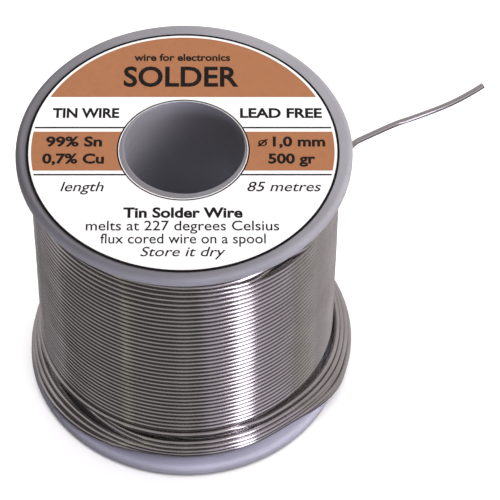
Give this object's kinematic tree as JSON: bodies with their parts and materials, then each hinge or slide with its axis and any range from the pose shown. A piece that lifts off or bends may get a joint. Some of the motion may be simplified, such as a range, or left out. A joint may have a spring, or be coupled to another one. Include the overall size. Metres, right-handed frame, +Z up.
{
  "type": "solder wire spool",
  "caption": "Flanged plastic spool wound with bright solder wire, with a printed round label on the upper flange, slack turns at the foot and a free wire end.",
  "frame": {"origin": "on the bore's axis, level with the lower flange's outer face, on which the spool stands", "axes": "+Z up along the bore's axis, from the lower flange to the labelled upper flange; +X towards the side where the free wire end sticks out; -Y is the side that the label reads from"},
  "size_m": [0.0785, 0.056, 0.056],
  "materials": {
    "spool_plastic": "satin",
    "label_paper": "satin",
    "solder_wire": "polished",
    "flux": "matte"
  },
  "bodies": {
    "spool": {"spool_lower_half": "spool_plastic", "spool_upper_half": "spool_plastic", "top_label": "label_paper", "wound_wire_core": "solder_wire", "wound_wire_outer_layer": "solder_wire", "slack_turns": "solder_wire"},
    "wire_end": {"last_turn": "solder_wire", "wire_tail": "solder_wire", "flux_core": "flux"}
  },
  "joints": [
    {"name": "wire_payout", "type": "hinge", "parent": "spool", "child": "wire_end", "pos_m": [0, 0, 0.052], "axis": [0, 0, 1], "continuous": true}
  ]
}
